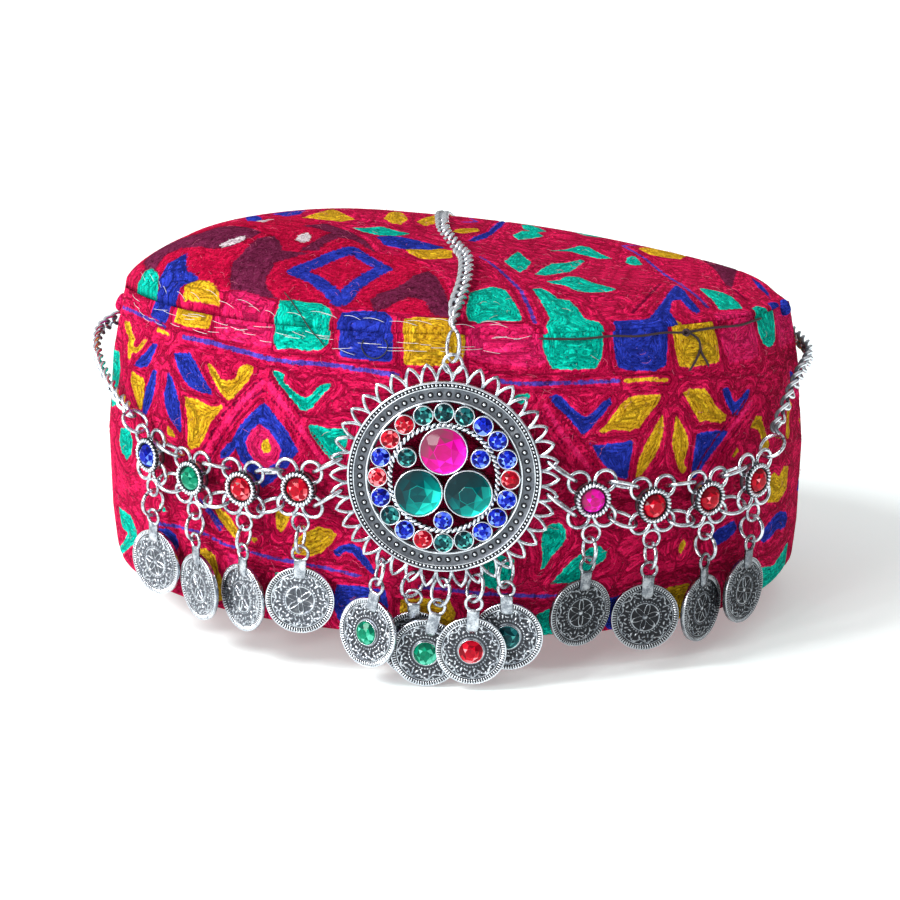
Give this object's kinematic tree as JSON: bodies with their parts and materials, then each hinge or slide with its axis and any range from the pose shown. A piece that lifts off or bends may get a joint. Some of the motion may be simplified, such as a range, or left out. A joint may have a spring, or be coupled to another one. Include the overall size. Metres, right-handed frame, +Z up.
{
  "type": "gilgiti cap",
  "caption": "Embroidered wool pillbox cap with a metal headpiece: jewelled medallion, flower links, hanging coins, and chains over the crown and round the back.",
  "frame": {"origin": "centre of the head opening, at the height of the cap's rim", "axes": "+X towards the wearer's left, across the cap's long way; -Y to the front, where the medallion hangs; +Z up, out of the crown"},
  "size_m": [0.2056, 0.1764, 0.1056],
  "materials": {
    "wool": "embroidered wool",
    "silver": "white metal with dark patina",
    "jewelled_silver": "white metal with dark patina, set with coloured stones"
  },
  "bodies": {
    "root": {"cap_side": "wool", "chain_sides": "silver", "chain_top": "silver", "coin_left_1": "silver", "coin_left_2": "silver", "coin_left_3": "silver", "coin_left_4": "silver", "coin_medallion_1": "silver", "coin_medallion_2": "silver", "coin_medallion_3": "silver", "coin_medallion_4": "silver", "coin_medallion_5": "silver", "coin_right_1": "silver", "coin_right_2": "silver", "coin_right_3": "silver", "coin_right_4": "silver", "crown_top": "wool", "flower_left_1": "jewelled_silver", "flower_left_2": "jewelled_silver", "flower_left_3": "jewelled_silver", "flower_left_4": "jewelled_silver", "flower_right_1": "jewelled_silver", "flower_right_2": "jewelled_silver", "flower_right_3": "jewelled_silver", "flower_right_4": "jewelled_silver", "link_left_1_lower": "silver", "link_left_1_upper": "silver", "link_left_2_lower": "silver", "link_left_2_upper": "silver", "link_left_3_lower": "silver", "link_left_3_upper": "silver", "link_left_4_lower": "silver", "link_left_4_upper": "silver", "link_right_1_lower": "silver", "link_right_1_upper": "silver", "link_right_2_lower": "silver", "link_right_2_upper": "silver", "link_right_3_lower": "silver", "link_right_3_upper": "silver", "link_right_4_lower": "silver", "link_right_4_upper": "silver", "medallion": "jewelled_silver", "ring_back": "silver", "ring_chain_left": "silver", "ring_chain_right": "silver", "ring_coin_left_1": "silver", "ring_coin_left_2": "silver", "ring_coin_left_3": "silver", "ring_coin_left_4": "silver", "ring_coin_medallion_1": "silver", "ring_coin_medallion_2": "silver", "ring_coin_medallion_3": "silver", "ring_coin_medallion_4": "silver", "ring_coin_medallion_5": "silver", "ring_coin_right_1": "silver", "ring_coin_right_2": "silver", "ring_coin_right_3": "silver", "ring_coin_right_4": "silver", "ring_medallion": "silver"}
  },
  "joints": []
}
